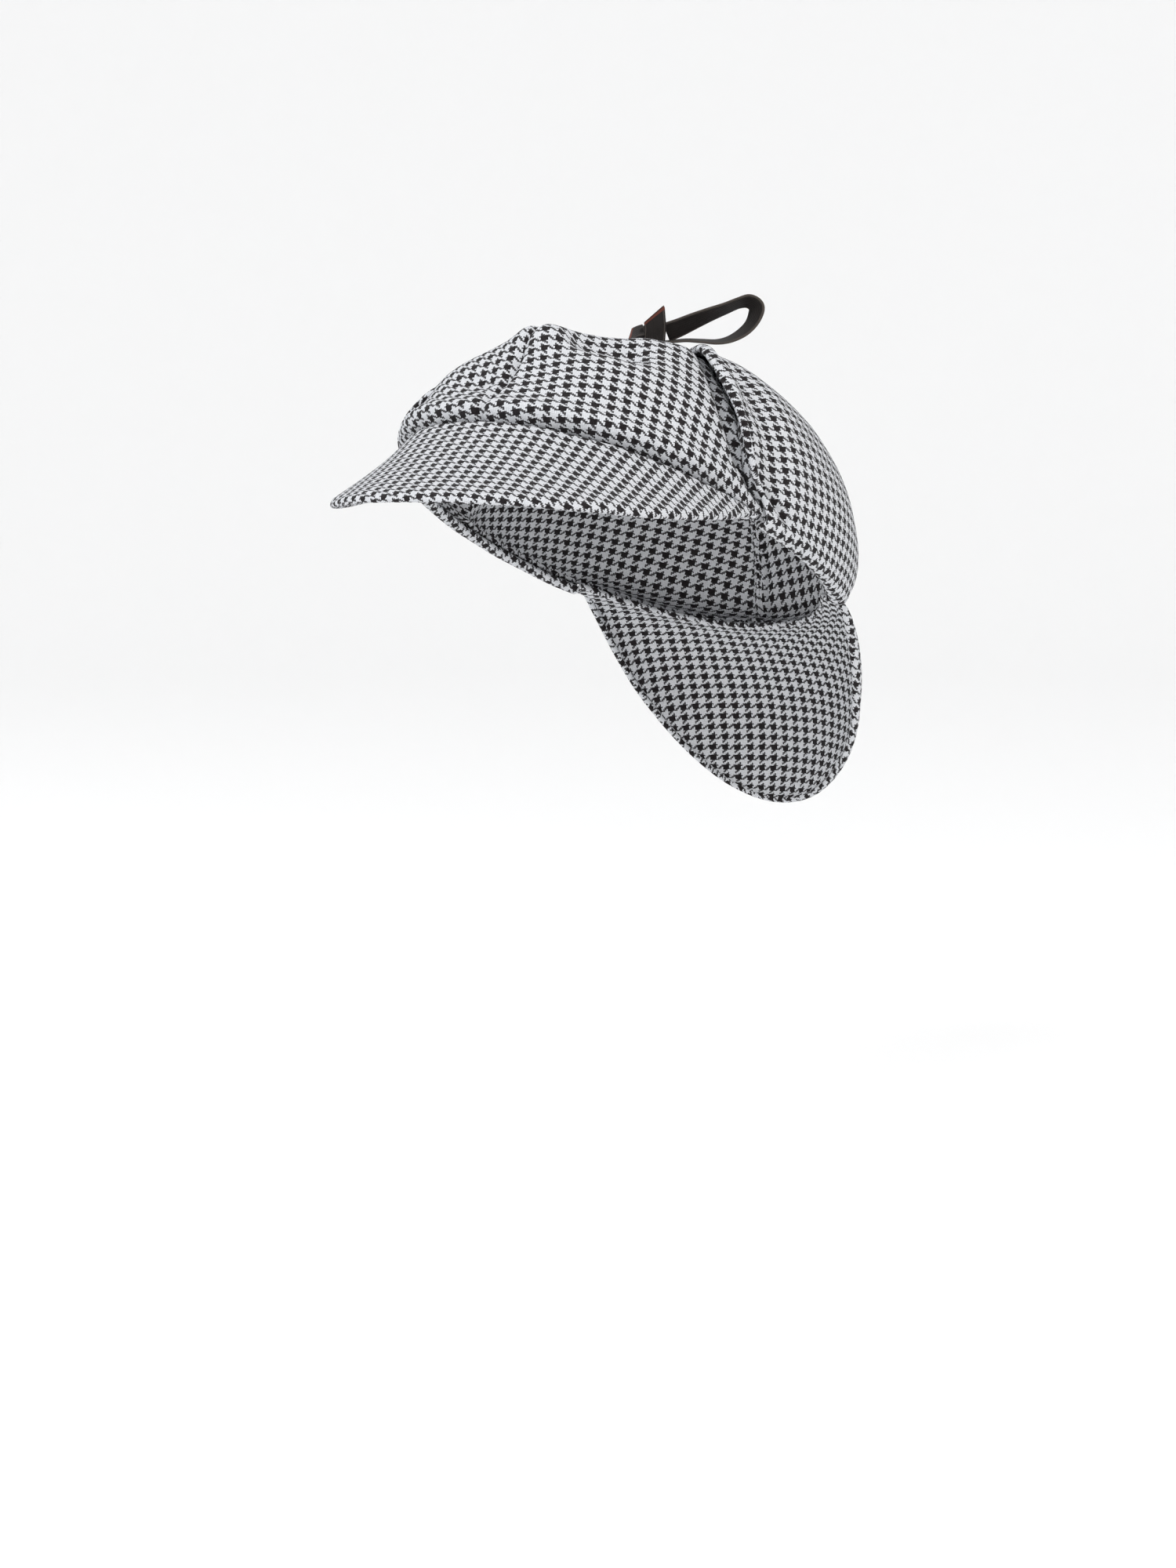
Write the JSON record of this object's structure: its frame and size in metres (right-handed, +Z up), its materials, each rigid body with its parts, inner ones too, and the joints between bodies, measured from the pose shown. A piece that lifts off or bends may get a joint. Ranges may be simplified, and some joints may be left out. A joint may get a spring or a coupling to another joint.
{
  "type": "deerstalker hat",
  "caption": "Deerstalker hat in houndstooth cloth, with a front and a back peak and ear flaps turned up and tied over the crown with black tape.",
  "frame": {"origin": "centre of the rim, where the hat sits on a head", "axes": "+Z up with the hat leaned back 24.5 degrees as worn, front of the hat towards -Y, the wearer's left towards +X"},
  "size_m": [0.1666, 0.2638, 0.2093],
  "materials": {
    "houndstooth_cloth": "matte woven wool twill in a black and white houndstooth check",
    "black_tape": "matte black ribbed tape"
  },
  "bodies": {
    "root": {"crown_panel_front_left": "houndstooth_cloth", "crown_panel_back_left": "houndstooth_cloth", "crown_panel_back_right": "houndstooth_cloth", "crown_panel_front_right": "houndstooth_cloth", "front_peak": "houndstooth_cloth", "back_peak": "houndstooth_cloth", "ear_flap_left": "houndstooth_cloth", "ear_flap_right": "houndstooth_cloth", "tape_knot": "black_tape", "tape_loop": "black_tape", "tape_end_upright": "black_tape", "tape_end_side": "black_tape"}
  },
  "joints": []
}
